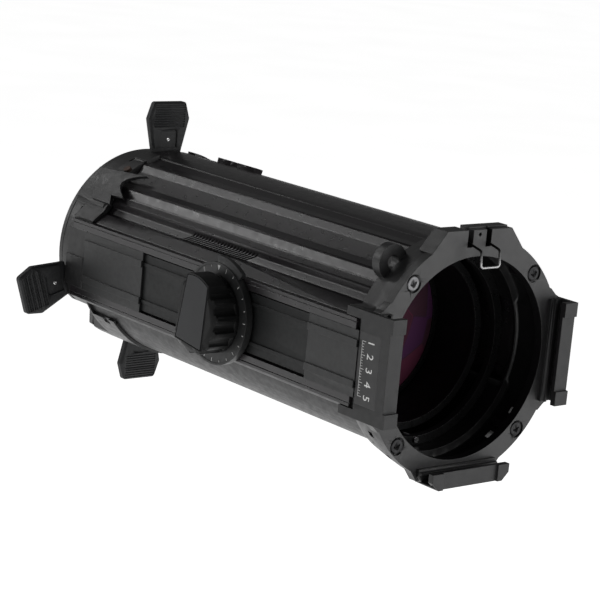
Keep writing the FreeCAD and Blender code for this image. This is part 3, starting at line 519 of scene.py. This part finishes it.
SWING_CENTRE = 30.0       # of a shutter, from the optical axis
RIVET_AT = 105.5          # from the axis, with the shutter neither pulled nor pushed
PAD_FACE = 2.75           # front of the grip's pad, from the middle of its thickness
# Each shutter: its side, its angle round the axis, how far it is pulled out, its swing, and its depth.
for side, angle, out, swing, depth in (("top", 0.0, 0.0, 0.0, 429.5), ("left", 90.0, 10.0, 18.0, 435.5),
                                       ("bottom", 180.0, -10.0, 0.0, 447.5),
                                       ("right", 270.0, 0.0, 0.0, 441.5)):
    finished(side + "_shutter_shoe", side + "_shoe_sheet", heated_steel)
    finished(side + "_shutter_blade", side + "_blade_sheet", heated_steel)
    finished(side + "_shutter_grip", side + "_grip_moulding", grip_nylon)
    points, faces = rivet(1.75 * MM, 0.75 * MM, 0.5 * MM)
    lean, tip = math.radians(swing), math.radians(angle)
    local = np.stack([points[:, 0], points[:, 1] + (RIVET_AT + out - SWING_CENTRE) * MM], axis=1)
    swung = np.stack([local[:, 0] * math.cos(lean) - local[:, 1] * math.sin(lean),
                      local[:, 0] * math.sin(lean) + local[:, 1] * math.cos(lean) + SWING_CENTRE * MM],
                     axis=1)
    x = swung[:, 0] * math.cos(tip) - swung[:, 1] * math.sin(tip)
    z = swung[:, 0] * math.sin(tip) + swung[:, 1] * math.cos(tip)
    y = (PLATE_FACE + depth - PAD_FACE) * MM - points[:, 2]
    made(side + "_grip_rivet", np.stack([x, y, z], axis=1), faces, rivet_steel, side + "_shutter",
         smooth=True)

# ---- lenses and their cells --------------------------------------------------------------------
# Two lenses sit in turned, matt black anodised cells on a pair of ground rods. Purple, maroon and brown
# patches of painted reflection from the coating are laid into the glass's colour.
ground_rod = metal("ground_rod_steel", (0.50, 0.50, 0.51), (0.62, 0.62, 0.63), (0.14, 0.24), 3000.0, 0.000008)
finished("guide_rods", "guide_rods_ground", ground_rod)
turned_black = coated_metal("turned_black_anodised", (0.004, 0.004, 0.0042), (0.007, 0.007, 0.0073),
                            (0.24, 0.36), 2400.0, 0.00002, 0.22)
for node in ("front_rod_ring", "front_lens_cell", "rear_lens_cell", "front_lens_retainer",
             "rear_lens_retainer"):
    finished(node, node + "_turned", turned_black, inner_black)
for side in ("left", "right"):
    finished(side + "_arm", side + "_arm_bracket", turned_black)


def coated_glass(name, patch_scale):
    """Dark coated glass: soft-edged patches of painted reflection in colour over a deep black."""
    material, tree, shader = new_material(name)
    place = texture_place(tree)
    cells = tree.nodes.new("ShaderNodeTexVoronoi")
    cells.feature = "SMOOTH_F1"
    cells.inputs["Scale"].default_value = patch_scale
    cells.inputs["Smoothness"].default_value = 0.12
    cells.inputs["Randomness"].default_value = 0.85
    tree.links.new(place, cells.inputs["Vector"])
    split = tree.nodes.new("ShaderNodeSeparateColor")
    tree.links.new(cells.outputs["Color"], split.inputs["Color"])
    # Painted reflection: the coating's coloured reflections are set as patches of base colour.
    patches = ramp(tree, split.outputs["Red"], ((0.05, (0.040, 0.022, 0.080)), (0.30, (0.085, 0.030, 0.085)),
                                                (0.55, (0.055, 0.032, 0.045)), (0.80, (0.130, 0.030, 0.060)),
                                                (0.98, (0.045, 0.028, 0.036))))
    tree.links.new(patches, shader.inputs["Base Color"])
    tree.links.new(spread(tree, noise(tree, place, 60.0, 2.0), 0.03, 0.07), shader.inputs["Roughness"])
    shader.inputs["Specular IOR Level"].default_value = 0.25
    return material


finished("front_lens", "front_lens_glass", coated_glass("coated_glass_front", 31.0),
         curved=True)
finished("rear_lens", "rear_lens_glass", coated_glass("coated_glass_rear", 23.0),
         curved=True)

# ---- studio ------------------------------------------------------------------------------------
# A pale seamless floor that glows evenly, four soft lights and the camera. None of it belongs to the object.
# The two strips behind it draw the highlights along the flutes.


def look_matrix(place, ahead, roll):
    """Camera or lamp matrix: it stands at place, looks along ahead, and is rolled about that line."""
    ahead = Vector(ahead).normalized()
    right = ahead.cross(Vector((0, 0, 1))).normalized()
    up = right.cross(ahead)
    turn = Matrix.Rotation(roll, 3, ahead)
    right, up = turn @ right, turn @ up
    matrix = Matrix((right, up, -ahead)).transposed().to_4x4()
    matrix.translation = place
    return matrix


camera_data = bpy.data.cameras.new("camera")
camera_data.sensor_width = 36.0
camera_data.lens = 129.4
camera_data.clip_start, camera_data.clip_end = 0.05, 50.0
camera = bpy.data.objects.new("camera", camera_data)
camera.matrix_world = look_matrix((-1.1844, -1.6574, 0.4057), (0.62786, 0.74794, -0.21535),
                                  math.radians(-5.2))
bpy.context.scene.collection.objects.link(camera)
bpy.context.scene.camera = camera

FLOOR_Z = -0.60
floor_paper, paper_tree, paper_shader = new_material("pale_lit_paper")
paper_place = texture_place(paper_tree)
paper_tint = ramp(paper_tree, noise(paper_tree, paper_place, 3.0), ((0.2, (0.87, 0.87, 0.87)),
                                                                    (0.8, (0.90, 0.90, 0.90))))
paper_tree.links.new(paper_tint, paper_shader.inputs["Base Color"])
paper_tree.links.new(paper_tint, paper_shader.inputs["Emission Color"])
paper_shader.inputs["Emission Strength"].default_value = 1.0
paper_shader.inputs["Roughness"].default_value = 0.9
floor_mesh = bpy.data.meshes.new("floor")
floor_mesh.from_pydata([(-30, -30, FLOOR_Z), (30, -30, FLOOR_Z), (30, 30, FLOOR_Z), (-30, 30, FLOOR_Z)], [],
                       [(0, 1, 2, 3)])
floor_mesh.materials.append(floor_paper)
floor = bpy.data.objects.new("floor", floor_mesh)
bpy.context.scene.collection.objects.link(floor)

world = bpy.data.worlds.new("studio")
world.use_nodes = True
world.node_tree.nodes["Background"].inputs["Color"].default_value = (1, 1, 1, 1)
world.node_tree.nodes["Background"].inputs["Strength"].default_value = 0.12
bpy.context.scene.world = world
for name, place, aim, size, power in (
        ("rear_top_strip", (-0.48, 1.62, 1.59), (0, -0.25, 0), (0.35, 1.0), 5.4),
        ("rear_left_strip", (-1.5, 1.7, 0.88), (0, -0.25, 0), (0.5, 1.0), 10.0),
        ("front_softbox", (0.9, -2.2, 0.5), (0, -0.4, 0), (1.5, 1.5), 24.0),
        ("left_softbox", (-2.2, -0.3, 0.8), (0, -0.2, 0), (0.9, 0.9), 4.0)):
    lamp_data = bpy.data.lights.new(name, "AREA")
    lamp_data.shape = "RECTANGLE"
    lamp_data.size, lamp_data.size_y = size
    lamp_data.energy = power
    lamp = bpy.data.objects.new(name, lamp_data)
    lamp.matrix_world = look_matrix(place, Vector(aim) - Vector(place), 0.0)
    bpy.context.scene.collection.objects.link(lamp)
bpy.context.scene.view_settings.view_transform = "Standard"
